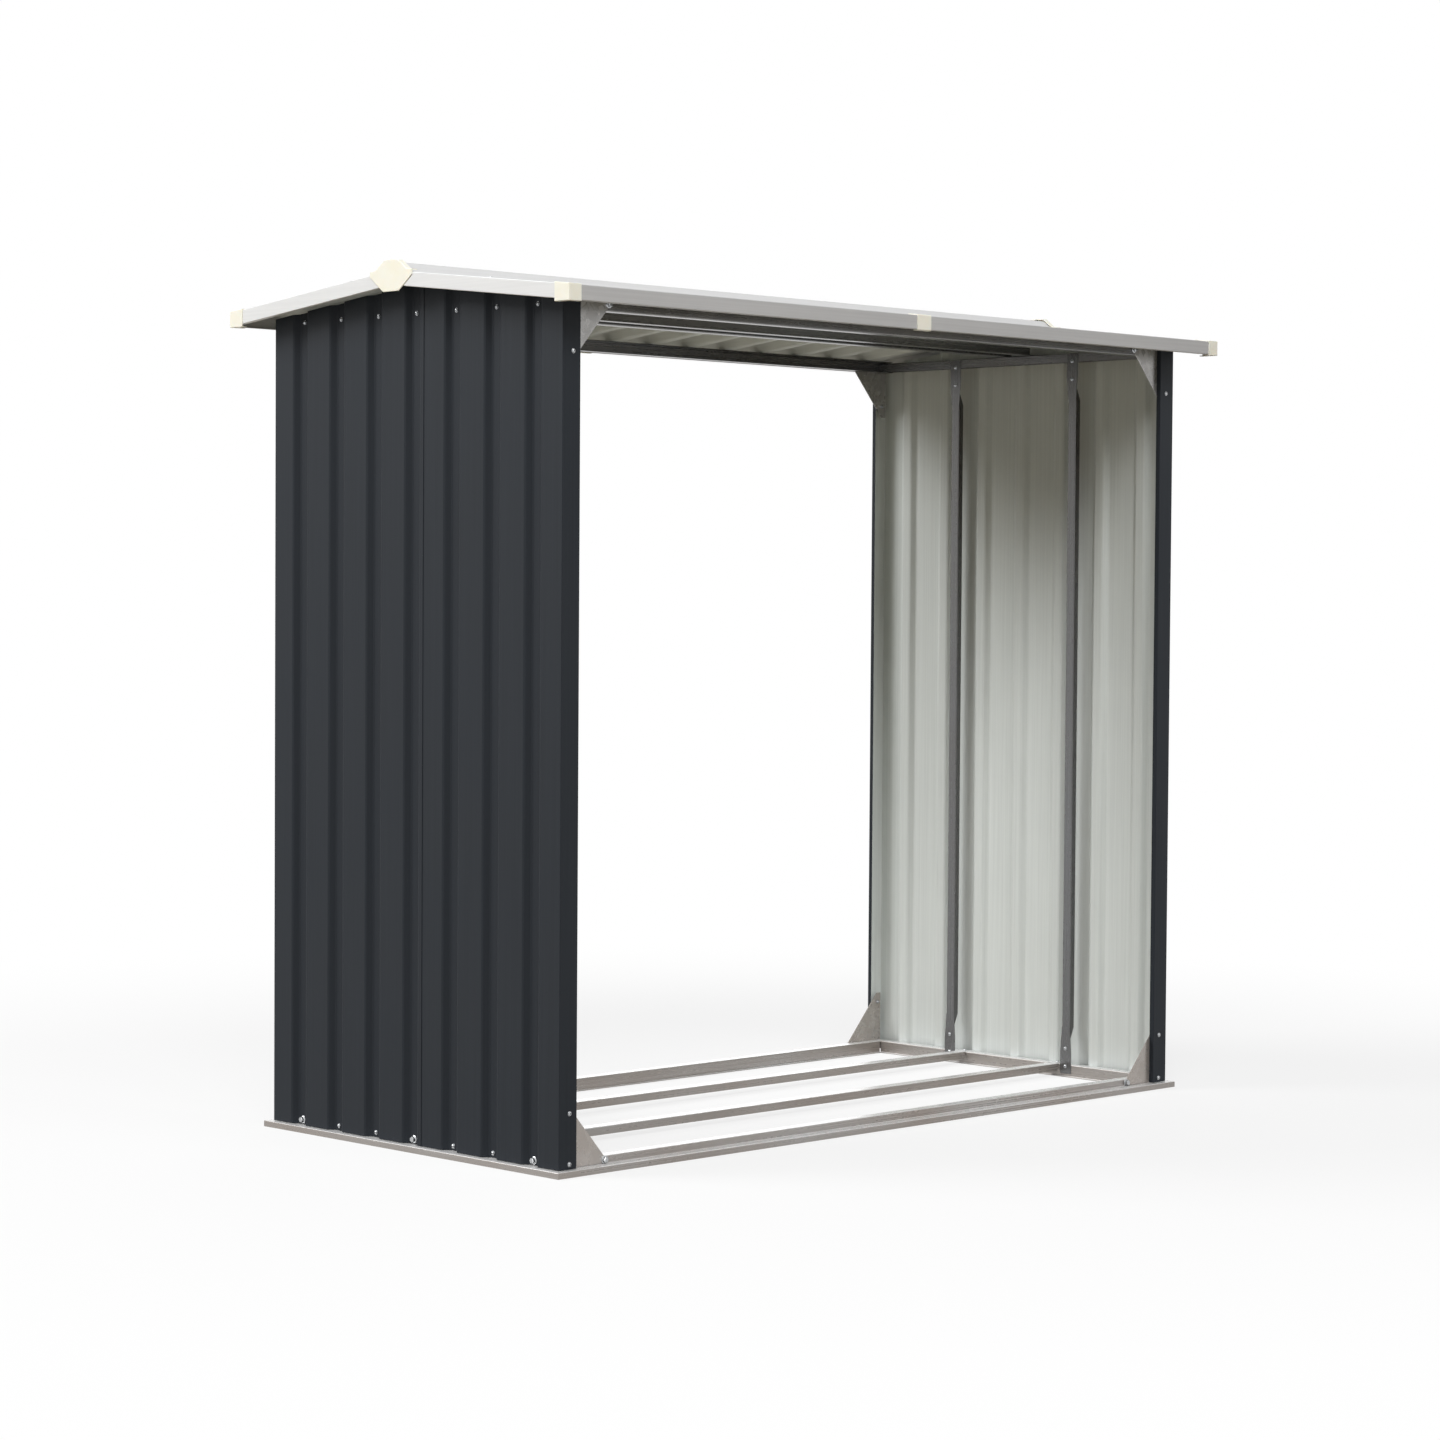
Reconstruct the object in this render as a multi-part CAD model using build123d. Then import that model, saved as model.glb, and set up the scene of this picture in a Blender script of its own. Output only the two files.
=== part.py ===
from build123d import *
import math
import os

# A steel log store: two corrugated side walls and a low gable roof on a light frame of folded
# sections, open at the front and the back.
# Millimetres. The origin is on the ground under the middle of the base, +X runs along the ridge
# to the right, +Y to the back and +Z up. The front faces -Y.

# Overall size over the plastic caps, and how far the roof passes the walls
OVERALL_LENGTH = 1720.0
OVERALL_DEPTH = 910.0
OVERALL_HEIGHT = 1540.0
GABLE_OVERHANG = 50.0
EAVE_OVERHANG = 70.0
ROOF_PITCH = 6.2

# Stock: painted sheet, frame steel and moulded caps, with the air left between seated pieces
# and the inside radius of a fold that turns by more than a gentle angle
SHEET = 0.6
STEEL = 1.0
PLASTIC = 1.5
SEAT = 0.1
OVERRUN = 5.0
BEND = 0.8
GENTLE_FOLD = 40.0

# Corrugation: wide flat crowns on the outer plane, parted by narrow grooves, deeper in the roof
GROOVE_PITCH = 104.0
GROOVE_DEPTH = 10.0
GROOVE_SIDE = 10.0
ROOF_GROOVE_DEPTH = 17.0
ROOF_GROOVE_SIDE = 13.0
VALLEY_WIDTH = 20.0
GROOVE_EASE = 2.0
EDGE_FLAT = 20.0
LAP_FLAT = 10.0
LAP_CLEARANCE = 0.02

# Side walls
RETURN_WIDTH = 40.0
WALL_TOP_GAP = 1.0

# Base rails: a lip to the ground, a foot that carries the wall, and a raised channel inside it
FOOT_REACH = 13.0
FOOT_HEIGHT = 11.0
BASE_HEIGHT = 24.0
SECTION_WIDTH = 22.0
TOE_WIDTH = 8.0
CORNER_RELIEF = 3.0

# Studs: channels pressed flat and wide at both ends, where they are bolted on
STUD_PLACE_SHARE = 1.5
STUD_WIDTH = 20.0
STUD_DEPTH = 13.0
STUD_END_WIDTH = 28.0
STUD_TO_GROUND = 6.0
STUD_TAB = 16.0
STUD_FLAT = 26.0
STUD_FLARE = 50.0
STUD_RAMP = 30.0

# Floor joists
JOIST_WIDTH = 25.0
JOIST_HEIGHT = 15.0
JOIST_TO_STUD = 8.5
JOIST_RELIEF = 3.0

# Top ring and ridge purlin
BEAM_HEIGHT = 20.5
BEAM_FLANGE = 20.0
RAIL_CLEARANCE = 0.5
PURLIN_WIDTH = 50.0
PURLIN_LIP = 20.0

# Corner gussets
GUSSET_RUN = 104.0
GUSSET_RISE = 112.0
GUSSET_RUN_TIP = 8.0
GUSSET_RISE_TIP = 12.0
GUSSET_BITE = 18.0

# Roof trims
RIDGE_GAP = 6.0
TRIM_HEIGHT = 25.5
TRIM_FLANGE = 22.0
TRIM_LIP = 8.0

# Ridge capping: flat wings and a raised middle
WING_HALF = 56.0
HUMP_FOOT_HALF = 40.0
HUMP_TOP_HALF = 17.0
HUMP_SHOULDER = 1.5
RIDGE_RISE = 15.0

# Plastic caps
CAP_REACH = 36.0
CAP_EAVE_REACH = 27.0
CAP_LIP = 9.0
CAP_ROUND = 1.0
RIDGE_CAP_GAP = 2.9
RIDGE_CAP_RIM = 12.0
RIDGE_CAP_SIDE = 9.0
RIDGE_CAP_FOOT_HALF = 21.0
RIDGE_CAP_DROP = 36.0

# Worked-out lines of the frame
SLOPE = math.tan(math.radians(ROOF_PITCH))
WALL_X = OVERALL_LENGTH / 2 - GABLE_OVERHANG
WALL_Y = OVERALL_DEPTH / 2 - EAVE_OVERHANG
FRAME_X = WALL_X - GROOVE_DEPTH - SHEET
FRAME_Y = WALL_Y - GROOVE_DEPTH - SHEET
BASE_X = WALL_X + FOOT_REACH
BASE_Y = WALL_Y + FOOT_REACH
LEG_X = FRAME_X - SECTION_WIDTH
LEG_Y = FRAME_Y - SECTION_WIDTH
STUD_Y = STUD_PLACE_SHARE * GROOVE_PITCH
JOIST_Y = STUD_Y - STUD_WIDTH / 2 - JOIST_TO_STUD - JOIST_WIDTH / 2
WALL_LAP = (SHEET + LAP_CLEARANCE) * math.hypot(GROOVE_SIDE, GROOVE_DEPTH) / GROOVE_SIDE
ROOF_LAP = (SHEET + LAP_CLEARANCE) * math.hypot(ROOF_GROOVE_SIDE, ROOF_GROOVE_DEPTH) / ROOF_GROOVE_SIDE
HUMP_SECANT = math.hypot(HUMP_TOP_HALF, HUMP_SHOULDER) / HUMP_TOP_HALF
APEX = OVERALL_HEIGHT - (PLASTIC + RIDGE_CAP_GAP) * HUMP_SECANT - RIDGE_RISE
TRIM_X = OVERALL_LENGTH / 2 - PLASTIC
TRIM_Y = OVERALL_DEPTH / 2 - PLASTIC
SHEET_X = TRIM_X - SHEET - BEND - SEAT
SHEET_Y = TRIM_Y - SHEET - BEND - SEAT
WALL_BOTTOM = FOOT_HEIGHT + BEND


def crown(y):
    """Height of the roof sheets' upper faces, on the left half of the roof."""
    return APEX - abs(y) * SLOPE


def roof_seat(y):
    """Height of the frame's upper faces, just under the grooves of the lower roof sheets."""
    return crown(y) - ROOF_LAP - ROOF_GROOVE_DEPTH - SHEET - SEAT


def trim_top(y):
    """Height of the upper faces of the roof trims, whose flanges lie on the sheets."""
    return crown(y) + SEAT + SHEET


BEAM_BOTTOM = roof_seat(FRAME_Y) - BEAM_HEIGHT
RAIL_BOTTOM = BEAM_BOTTOM + STEEL
RAIL_TOP = roof_seat(FRAME_Y) - STEEL - RAIL_CLEARANCE


def right_normals(points):
    """Unit vectors to the right of each straight of a path."""
    normals = []
    for (x0, y0), (x1, y1) in zip(points, points[1:]):
        length = math.hypot(x1 - x0, y1 - y0)
        normals.append(((y1 - y0) / length, (x0 - x1) / length))
    return normals


def shifted(points, distance):
    """The same path moved sideways to the right of its direction, mitred at its corners."""
    normals = right_normals(points)
    moved = []
    for (x, y), (ax, ay), (bx, by) in zip(points, normals[:1] + normals, normals + normals[-1:]):
        scale = distance / (1 + ax * bx + ay * by)
        moved.append((x + (ax + bx) * scale, y + (ay + by) * scale))
    return moved


def flat(outline):
    """A face with this outline."""
    return make_face(Polyline(*outline, close=True))


def folded(points, thickness):
    """Section of a folded strip whose outer face follows the points, with its metal to the right.

    A negative thickness puts the metal to the left. Folds have a radius, apart from gentle ones.
    """
    normals = right_normals(points)
    near = []
    far = []
    for (ax, ay), (bx, by) in zip(normals, normals[1:]):
        turns_right = ax * by - ay * bx < 0
        path_outside = turns_right == (thickness > 0)
        rounded = ax * bx + ay * by < math.cos(math.radians(GENTLE_FOLD))
        near.append(rounded * (BEND + abs(thickness) * path_outside))
        far.append(rounded * (BEND + abs(thickness) * (not path_outside)))
    outline = points + shifted(points, thickness)[::-1]
    radii = [0] + near + [0, 0] + far[::-1] + [0]
    return make_face(FilletPolyline(*outline, radius=radii, close=True))


def along_x(section, x_from, x_to):
    """A (y, z) section drawn out along X."""
    return extrude(Plane.YZ.offset(x_from) * section, amount=x_to - x_from)


def along_y(section, y_from, y_to):
    """An (x, z) section drawn out along Y."""
    return extrude(Plane.XZ.offset(-y_to) * section, amount=y_to - y_from)


def along_z(section, z_from, z_to):
    """An (x, y) section drawn out along Z."""
    return extrude(Plane.XY.offset(z_from) * section, amount=z_to - z_from)


def to_back(part):
    """The same piece on the other side of the ridge."""
    return mirror(part, about=Plane.XZ)


def to_right(part):
    """The same piece at the other end."""
    return mirror(part, about=Plane.YZ)


def under_lap(part):
    """A left roof panel made into its right twin, which lies under it at the lap."""
    return Pos(0, 0, -ROOF_LAP) * to_right(part)


def groove_centres(reach):
    """Places of the grooves between the middle one and a flat edge at reach from it."""
    count = int((reach - EDGE_FLAT) // GROOVE_PITCH)
    return [GROOVE_PITCH * index for index in range(-count, 1)]


def corrugation(reach, side, depth):
    """Path of a sheet from its edge at -reach, as (place, depth), to the lap past the middle.

    The sides of the grooves take up the given width and depth.
    """
    slant = math.hypot(side, depth)
    ease_along = GROOVE_EASE * side / slant
    ease_deep = GROOVE_EASE * depth / slant
    foot = VALLEY_WIDTH / 2
    brink = foot + side
    half = [
        (brink + GROOVE_EASE, 0),
        (brink - ease_along, ease_deep),
        (foot + ease_along, depth - ease_deep),
        (foot - GROOVE_EASE, depth),
    ]
    path = [(-reach, 0)]
    for centre in groove_centres(reach - brink):
        path += [(centre - offset, below) for offset, below in half]
        path += [(centre + offset, below) for offset, below in reversed(half)]
    path.append((brink + LAP_FLAT, 0))
    return path


def base_section(edge):
    """Section of a base rail whose lip stands at -edge and whose toe points inwards."""
    web = FOOT_REACH + GROOVE_DEPTH + SHEET
    leg = web + SECTION_WIDTH
    path = [
        (0, 0),
        (0, FOOT_HEIGHT),
        (web, FOOT_HEIGHT),
        (web, BASE_HEIGHT),
        (leg, BASE_HEIGHT),
        (leg, STEEL),
        (leg + TOE_WIDTH, STEEL),
    ]
    return folded([(inset - edge, z) for inset, z in path], STEEL)


def base_mitre(corners):
    """Body that ends the base rails in a mitre, from corners in plan."""
    return along_z(flat(corners), -OVERRUN, BASE_HEIGHT + OVERRUN)


def base_front_rail():
    """Front base rail, mitred into the side rails, with its leg cut back at both corners."""
    inner_x = LEG_X - TOE_WIDTH
    inner_y = LEG_Y - TOE_WIDTH
    mitre = base_mitre([(-BASE_X, -BASE_Y), (BASE_X, -BASE_Y), (inner_x, -inner_y), (-inner_x, -inner_y)])
    leg_y = -LEG_Y - STEEL - BEND
    toe_y = OVERRUN - inner_y
    leg_top = BASE_HEIGHT - STEEL - BEND
    relief = flat([(leg_y, -OVERRUN), (toe_y, -OVERRUN), (toe_y, leg_top), (leg_y, leg_top)])
    corner = along_x(relief, -LEG_X - OVERRUN, CORNER_RELIEF - LEG_X)
    return (along_x(base_section(BASE_Y), -BASE_X, BASE_X) & mitre) - corner - to_right(corner)


def base_left_rail():
    """Left base rail, mitred into the front and back rails."""
    inner_x = LEG_X - TOE_WIDTH
    inner_y = LEG_Y - TOE_WIDTH
    mitre = base_mitre([(-BASE_X, -BASE_Y), (-inner_x, -inner_y), (-inner_x, inner_y), (-BASE_X, BASE_Y)])
    return along_y(base_section(BASE_X), -BASE_Y, BASE_Y) & mitre


def floor_joist():
    """Front joist: an inverted channel whose top runs on as a tab over each side rail."""
    top = BASE_HEIGHT + STEEL
    bottom = top - JOIST_HEIGHT
    low = -JOIST_Y - JOIST_WIDTH / 2
    high = -JOIST_Y + JOIST_WIDTH / 2
    channel = folded([(low, bottom), (low, top), (high, top), (high, bottom)], STEEL)
    below = [
        (low - OVERRUN, bottom - OVERRUN),
        (high + OVERRUN, bottom - OVERRUN),
        (high + OVERRUN, BASE_HEIGHT),
        (low - OVERRUN, BASE_HEIGHT),
    ]
    notch = along_x(flat(below), -FRAME_X - OVERRUN, JOIST_RELIEF - LEG_X)
    return along_x(channel, -FRAME_X, FRAME_X) - notch - to_right(notch)


def stud_end(end, middle):
    """Flat end of the left front stud, from its end height to where its flare meets the channel."""
    half = STUD_WIDTH / 2
    wide = STUD_END_WIDTH / 2
    flare = middle + math.copysign(STUD_FLARE, middle - end)
    outline = [
        (-STUD_Y - wide, end),
        (-STUD_Y - wide, middle),
        (-STUD_Y - half, flare),
        (-STUD_Y + half, flare),
        (-STUD_Y + wide, middle),
        (-STUD_Y + wide, end),
    ]
    return along_x(flat(outline), -LEG_X, STEEL - LEG_X)


def stud():
    """Left front stud: a channel with its web inwards, pressed flat and bolted on at each end."""
    web = STEEL - LEG_X
    flange = web - STUD_DEPTH
    low = -STUD_Y - STUD_WIDTH / 2
    high = -STUD_Y + STUD_WIDTH / 2
    channel = folded([(flange, high), (web, high), (web, low), (flange, low)], STEEL)
    flat_low = BASE_HEIGHT + STUD_FLAT
    flat_high = RAIL_BOTTOM - STUD_FLAT
    flange_low = flat_low + STUD_FLARE
    flange_high = flat_high - STUD_FLARE
    ramped = [
        (web, flange_low - STUD_RAMP),
        (flange, flange_low),
        (flange, flange_high),
        (web, flange_high + STUD_RAMP),
    ]
    body = along_z(channel, flat_low, flat_high) & along_y(flat(ramped), low, high)
    return body + stud_end(STUD_TO_GROUND, flat_low) + stud_end(RAIL_BOTTOM + STUD_TAB, flat_high)


def front_top_beam():
    """Channel over the open front, with its upper flange folded to the pitch of the roof."""
    edge = BEAM_FLANGE - FRAME_Y
    path = [
        (edge, BEAM_BOTTOM),
        (-FRAME_Y, BEAM_BOTTOM),
        (-FRAME_Y, roof_seat(FRAME_Y)),
        (edge, roof_seat(edge)),
    ]
    return along_x(folded(path, STEEL), SEAT - FRAME_X, FRAME_X - SEAT)


def left_top_rail():
    """Inverted channel along the head of a side wall, standing in the channels of both beams."""
    path = [
        (-FRAME_X, RAIL_BOTTOM),
        (-FRAME_X, RAIL_TOP),
        (-LEG_X, RAIL_TOP),
        (-LEG_X, RAIL_BOTTOM),
    ]
    reach = FRAME_Y - STEEL - BEND - SEAT
    return along_y(folded(path, STEEL), -reach, reach)


def ridge_purlin():
    """Hat section under the ridge, with its lips on the two side rails."""
    half = PURLIN_WIDTH / 2
    lip = RAIL_TOP + STEEL
    top = roof_seat(half)
    path = [
        (-half - PURLIN_LIP, lip),
        (-half, lip),
        (-half, top),
        (half, top),
        (half, lip),
        (half + PURLIN_LIP, lip),
    ]
    return along_x(folded(path, STEEL), SEAT - FRAME_X, FRAME_X - SEAT)


def front_gussets(corner_z, upward):
    """A pair of corner plates outside the front webs, with their right angle at corner_z."""
    outline = [
        (0, 0),
        (GUSSET_RUN, 0),
        (GUSSET_RUN, GUSSET_RUN_TIP),
        (GUSSET_RISE_TIP, GUSSET_RISE),
        (0, GUSSET_RISE),
    ]
    placed = [(SEAT - FRAME_X + run, corner_z + upward * rise) for run, rise in outline]
    left = along_y(flat(placed), -FRAME_Y - STEEL, -FRAME_Y)
    return left + to_right(left)


def gable_body():
    """Everything under the tops of the walls, to cut their panels to the pitch of the roof."""
    reach = WALL_Y + OVERRUN
    below_roof = ROOF_LAP + ROOF_GROOVE_DEPTH + SHEET + WALL_TOP_GAP
    eave = crown(reach) - below_roof
    outline = [(-reach, 0), (reach, 0), (reach, eave), (0, APEX - below_roof), (-reach, eave)]
    return along_x(flat(outline), -WALL_X - OVERRUN, WALL_X + OVERRUN)


def wall_front_panel():
    """Left wall's front panel: hemmed return, corner, and grooves as far as the lap."""
    inner = RETURN_WIDTH - WALL_X
    hem = -FRAME_Y - STEEL
    path = [(inner, hem), (inner, -WALL_Y)]
    sheet = corrugation(WALL_Y, GROOVE_SIDE, GROOVE_DEPTH)
    path += [(depth - WALL_X, place) for place, depth in sheet]
    return along_z(folded(path, SHEET), WALL_BOTTOM, APEX) & gable_body()


def wall_back_panel():
    """Left wall's back panel, which laps over the front panel from outside."""
    return Pos(-WALL_LAP, 0, 0) * to_back(wall_front_panel())


def roof_panel():
    """Front left roof panel, with its grooves running down the slope."""
    sheet = corrugation(SHEET_X, ROOF_GROOVE_SIDE, ROOF_GROOVE_DEPTH)
    path = [(place, crown(SHEET_Y) - depth) for place, depth in sheet]
    run = SHEET_Y - RIDGE_GAP
    section = Plane.XZ.offset(SHEET_Y) * folded(path, SHEET)
    return extrude(section, amount=math.hypot(run, run * SLOPE), dir=(0, 1, SLOPE))


def trim_mitre(corners):
    """Body that ends the trims in a mitre under the corner cap, from corners in plan."""
    return along_z(flat(corners), FOOT_HEIGHT, OVERALL_HEIGHT)


def eave_trim():
    """Front left eave trim: face, lower lip, and a flange on the roof sheets."""
    top = trim_top(TRIM_Y)
    path = [
        (TRIM_LIP - TRIM_Y, top - TRIM_HEIGHT),
        (-TRIM_Y, top - TRIM_HEIGHT),
        (-TRIM_Y, top),
        (TRIM_FLANGE - TRIM_Y, top + TRIM_FLANGE * SLOPE),
    ]
    inner_x = TRIM_X - TRIM_FLANGE - OVERRUN
    inner_y = TRIM_Y - TRIM_FLANGE - OVERRUN
    mitre = trim_mitre([(-TRIM_X, -TRIM_Y), (-SEAT, -TRIM_Y), (-SEAT, -inner_y), (-inner_x, -inner_y)])
    return along_x(folded(path, SHEET), -TRIM_X, -SEAT) & mitre


def gable_trim():
    """Left front gable trim, the same section laid along the slope as far as the ridge."""
    bottom = -TRIM_HEIGHT * math.cos(math.radians(ROOF_PITCH))
    path = [
        (TRIM_LIP - TRIM_X, bottom),
        (-TRIM_X, bottom),
        (-TRIM_X, 0),
        (TRIM_FLANGE - TRIM_X, 0),
    ]
    level = along_y(folded(path, SHEET), -OVERALL_DEPTH, OVERRUN)
    inner_x = TRIM_X - TRIM_FLANGE - OVERRUN
    inner_y = TRIM_Y - TRIM_FLANGE - OVERRUN
    mitre = trim_mitre([(-TRIM_X, -TRIM_Y), (-inner_x, -inner_y), (-inner_x, -SEAT), (-TRIM_X, -SEAT)])
    return Pos(0, 0, trim_top(0)) * Rot(ROOF_PITCH, 0, 0) * level & mitre


def capping_path():
    """Upper face of the ridge capping from its front edge to its back edge."""
    wing = SEAT + SHEET + trim_top(0) - APEX
    front = [
        (-WING_HALF, crown(WING_HALF) + wing),
        (-HUMP_FOOT_HALF, crown(HUMP_FOOT_HALF) + wing),
        (-HUMP_TOP_HALF, APEX + RIDGE_RISE - HUMP_SHOULDER),
    ]
    back = [(-y, z) for y, z in reversed(front)]
    return front + [(0, APEX + RIDGE_RISE)] + back


def ridge_capping():
    """Folded cover over the joint of the roof sheets."""
    return along_x(folded(capping_path(), SHEET), SEAT - TRIM_X, TRIM_X - SEAT)


def cap_roof(y):
    """Height of the underside of a cap's top plate, just over the trims."""
    return trim_top(y) + SEAT


def corner_cap():
    """Front left corner cap: a moulded cup over the mitre of the eave and gable trims."""
    bottom = trim_top(TRIM_Y) - TRIM_HEIGHT
    outer_x = -TRIM_X - PLASTIC
    outer_y = -TRIM_Y - PLASTIC
    inner_x = outer_x + CAP_EAVE_REACH
    inner_y = outer_y + CAP_REACH
    shell = [
        (outer_y, bottom - PLASTIC),
        (inner_y, bottom - PLASTIC),
        (inner_y, cap_roof(inner_y) + PLASTIC),
        (outer_y, cap_roof(outer_y) + PLASTIC),
    ]
    block = along_x(flat(shell), outer_x, inner_x)
    inner_faces = [block.faces().sort_by(Axis.X)[-1], block.faces().sort_by(Axis.Y)[-1]]
    inner_edges = [edge for face in inner_faces for edge in face.edges()]
    outer_edges = [edge for edge in block.edges() if edge not in inner_edges]
    past_x = inner_x + OVERRUN
    past_y = inner_y + OVERRUN
    hollow = [(-TRIM_Y, bottom), (past_y, bottom), (past_y, cap_roof(past_y)), (-TRIM_Y, cap_roof(TRIM_Y))]
    lip_x = CAP_LIP - TRIM_X
    lip_y = CAP_LIP - TRIM_Y
    under = along_z(
        flat([(lip_x, lip_y), (past_x, lip_y), (past_x, past_y), (lip_x, past_y)]),
        bottom - PLASTIC - OVERRUN,
        bottom + OVERRUN,
    )
    return fillet(outer_edges, CAP_ROUND) - along_x(flat(hollow), -TRIM_X, past_x) - under


def eave_joint_cap():
    """Front cap over the joint of the two eave trims."""
    bottom = trim_top(TRIM_Y) - TRIM_HEIGHT - SEAT
    edge = TRIM_FLANGE - TRIM_Y
    path = [
        (CAP_LIP - TRIM_Y, bottom),
        (-TRIM_Y, bottom),
        (-TRIM_Y, cap_roof(TRIM_Y)),
        (edge, cap_roof(edge)),
    ]
    return along_x(folded(path, -PLASTIC), -CAP_REACH / 2, CAP_REACH / 2)


def ridge_end_cap():
    """Left ridge cap: a shield over the gable trims, with a rim over the end of the capping."""
    inner = shifted(capping_path(), -RIDGE_CAP_GAP)
    outer = shifted(capping_path(), -RIDGE_CAP_GAP - PLASTIC)
    edge, shoulder = outer[-1]
    shield = outer + [
        (edge, shoulder - RIDGE_CAP_SIDE),
        (RIDGE_CAP_FOOT_HALF, APEX - RIDGE_CAP_DROP),
        (-RIDGE_CAP_FOOT_HALF, APEX - RIDGE_CAP_DROP),
        (-edge, shoulder - RIDGE_CAP_SIDE),
    ]
    face_x = -TRIM_X - PLASTIC
    plate = along_x(flat(shield), face_x, -TRIM_X)
    rim = along_x(flat(inner + outer[::-1]), face_x, face_x + RIDGE_CAP_RIM)
    cap = plate + rim
    return fillet(cap.faces().sort_by(Axis.X)[0].edges(), CAP_ROUND)


def build():
    """Every piece of the log store by name."""
    front_rail = base_front_rail()
    left_rail = base_left_rail()
    joist = floor_joist()
    beam = front_top_beam()
    top_rail = left_top_rail()
    bottom_gussets = front_gussets(WALL_BOTTOM, 1)
    top_gussets = front_gussets(BEAM_BOTTOM + GUSSET_BITE, -1)
    joint_cap = eave_joint_cap()
    end_cap = ridge_end_cap()
    pieces = {
        "base_front_rail": front_rail,
        "base_back_rail": to_back(front_rail),
        "base_left_rail": left_rail,
        "base_right_rail": to_right(left_rail),
        "floor_joist_front": joist,
        "floor_joist_back": to_back(joist),
        "front_top_beam": beam,
        "back_top_beam": to_back(beam),
        "left_top_rail": top_rail,
        "right_top_rail": to_right(top_rail),
        "ridge_purlin": ridge_purlin(),
        "front_bottom_gussets": bottom_gussets,
        "back_bottom_gussets": to_back(bottom_gussets),
        "front_top_gussets": top_gussets,
        "back_top_gussets": to_back(top_gussets),
        "ridge_capping": ridge_capping(),
        "front_eave_joint_cap": joint_cap,
        "back_eave_joint_cap": to_back(joint_cap),
        "left_ridge_end_cap": end_cap,
        "right_ridge_end_cap": to_right(end_cap),
    }
    front_stud = stud()
    wall_panels = {"front": wall_front_panel(), "back": wall_back_panel()}
    for end, panel in wall_panels.items():
        pieces[f"left_wall_{end}_panel"] = panel
        pieces[f"right_wall_{end}_panel"] = to_right(panel)
    for end, post in {"front": front_stud, "back": to_back(front_stud)}.items():
        pieces[f"left_{end}_stud"] = post
        pieces[f"right_{end}_stud"] = to_right(post)
    front_roof = roof_panel()
    for side, panel in {"front": front_roof, "back": to_back(front_roof)}.items():
        pieces[f"roof_{side}_left_panel"] = panel
        pieces[f"roof_{side}_right_panel"] = under_lap(panel)
    edging = {"eave_trim": eave_trim(), "gable_trim": gable_trim(), "corner_cap": corner_cap()}
    for kind, edge in edging.items():
        for side, half in {"front": edge, "back": to_back(edge)}.items():
            pieces[f"{side}_left_{kind}"] = half
            pieces[f"{side}_right_{kind}"] = to_right(half)
    return pieces


os.makedirs("parts", exist_ok=True)
for name, piece in build().items():
    export_step(piece, f"parts/{name}.step")
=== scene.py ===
import math
import random

import bmesh
import bpy
from mathutils import Matrix, Vector


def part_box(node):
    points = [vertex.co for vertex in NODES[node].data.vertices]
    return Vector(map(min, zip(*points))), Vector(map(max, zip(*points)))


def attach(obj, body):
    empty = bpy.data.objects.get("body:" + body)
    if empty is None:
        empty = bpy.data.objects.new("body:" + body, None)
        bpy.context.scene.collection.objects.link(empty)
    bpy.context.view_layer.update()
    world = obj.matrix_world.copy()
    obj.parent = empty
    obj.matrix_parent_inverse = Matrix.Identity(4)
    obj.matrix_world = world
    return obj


# A steel log store, dressed: painted and galvanised sheet, plastic caps and its fasteners.
# Metres. +X runs along the ridge to the right, +Y to the back, +Z up, and the front faces -Y.

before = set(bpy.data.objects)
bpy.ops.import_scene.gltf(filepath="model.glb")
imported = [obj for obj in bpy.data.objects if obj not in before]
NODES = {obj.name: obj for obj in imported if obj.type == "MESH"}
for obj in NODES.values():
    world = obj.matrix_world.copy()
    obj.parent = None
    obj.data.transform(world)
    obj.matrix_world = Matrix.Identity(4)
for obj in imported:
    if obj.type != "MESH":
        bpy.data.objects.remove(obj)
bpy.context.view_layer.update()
BODY = "root"
AXIS_X = 0
AXIS_Y = 1
AXIS_Z = 2
SIDES = {"left": -1, "right": 1}
ENDS = {"front": -1, "back": 1}

# Sheet: grooves of the walls and the roof, and the return at each open end of a wall
GROOVE_PITCH = 0.104
GROOVE_DEPTH = 0.010
ROOF_GROOVE_DEPTH = 0.017
SHEET = 0.0006
STEEL = 0.001
WALL_GROOVES = range(-3, 4)
ROOF_GROOVES = range(-7, 8)
CROWN_SHARE = 0.5
CORNER_DEPTH = 0.025
CORNER_EDGE = 0.003

# How far a face's normal has to lean to a side for the face to count as facing it
FACES_A_LITTLE = 0.1
FACES_CLEARLY = 0.3
ROOF_FACES_UP = 0.05
BASE_FACES_UP = 0.6

# Pan-head screw on a washer, hex bolt with a flange, and hex nut
WASHER_RADIUS = 0.0041
WASHER_HEIGHT = 0.0006
PAN_RADIUS = 0.0034
PAN_HEIGHT = 0.0028
PAN_SHOULDER_SHARE = 0.35
PAN_DOME_DEGREES = (0, 30, 55, 75)
RECESS_ARMS = 4
RECESS_ARM = 0.0022
RECESS_WIDTH = 0.0011
RECESS_DEPTH = 0.0020
RECESS_TAPER_SHARE = 0.7
FLANGE_RADIUS = 0.0070
FLANGE_HEIGHT = 0.0014
FLANGE_RIM_SHARE = 0.8
HEX_RADIUS = 0.0052
HEX_HEIGHT = 0.0050
HEX_CHAMFER = 0.0008
NUT_RADIUS = 0.0041
NUT_HEIGHT = 0.0032
SHANK_RADIUS = 0.0021
SHANK_HEIGHT = 0.0058
ROUND_SIDES = 24
SHANK_SIDES = 12
HEX_SIDES = 6
SPIN_SEED = 7

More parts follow.
